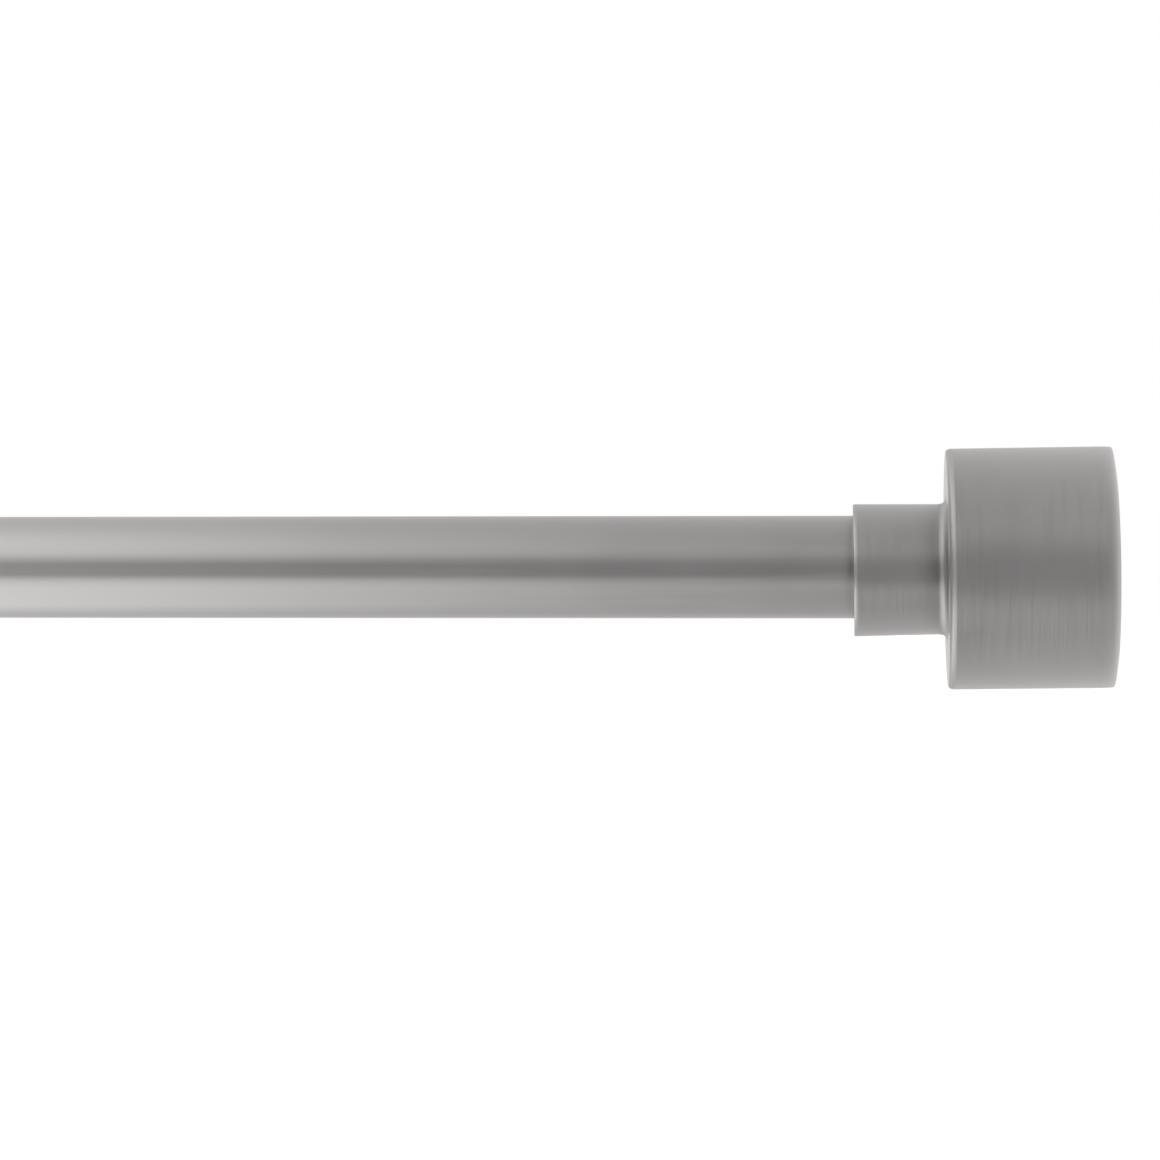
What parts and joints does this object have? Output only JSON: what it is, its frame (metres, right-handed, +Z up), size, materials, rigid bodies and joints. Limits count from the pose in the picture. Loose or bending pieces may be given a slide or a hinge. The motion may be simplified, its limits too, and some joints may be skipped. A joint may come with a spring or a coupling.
{
  "type": "extendable curtain rod",
  "caption": "Telescoping round curtain rod in satin nickel, with a stepped cylindrical cap finial on each end.",
  "frame": {"origin": "on the outer tube's axis, 100 mm from the mouth of the right-hand finial, where the right-hand bracket carries the tube", "axes": "+X along the rod towards the outer tube's finial, +Z up, away from the grub screws"},
  "size_m": [0.9402, 0.0594, 0.0602],
  "materials": {
    "tube_nickel": "satin",
    "finial_nickel": "satin",
    "screw_steel": "satin",
    "grey_plastic": "satin",
    "white_plastic": "matte"
  },
  "bodies": {
    "outer_rod": {"outer_tube": "tube_nickel", "mouth_ferrule": "grey_plastic", "right_finial_body": "finial_nickel", "right_finial_end_cap": "finial_nickel", "right_grub_screw": "screw_steel"},
    "glide": {"guide_ring": "white_plastic"},
    "inner_rod": {"inner_tube": "tube_nickel", "left_reducer_sleeve": "grey_plastic", "left_finial_body": "finial_nickel", "left_finial_end_cap": "finial_nickel", "left_grub_screw": "screw_steel"}
  },
  "joints": [
    {"name": "rod_extension", "type": "slide", "parent": "outer_rod", "child": "glide", "axis": [-1, 0, 0], "range_m": [-0.1016, 0.4064]},
    {"name": "inner_rod_turn", "type": "hinge", "parent": "glide", "child": "inner_rod", "pos_m": [0, 0, 0], "axis": [-1, 0, 0], "continuous": true}
  ]
}
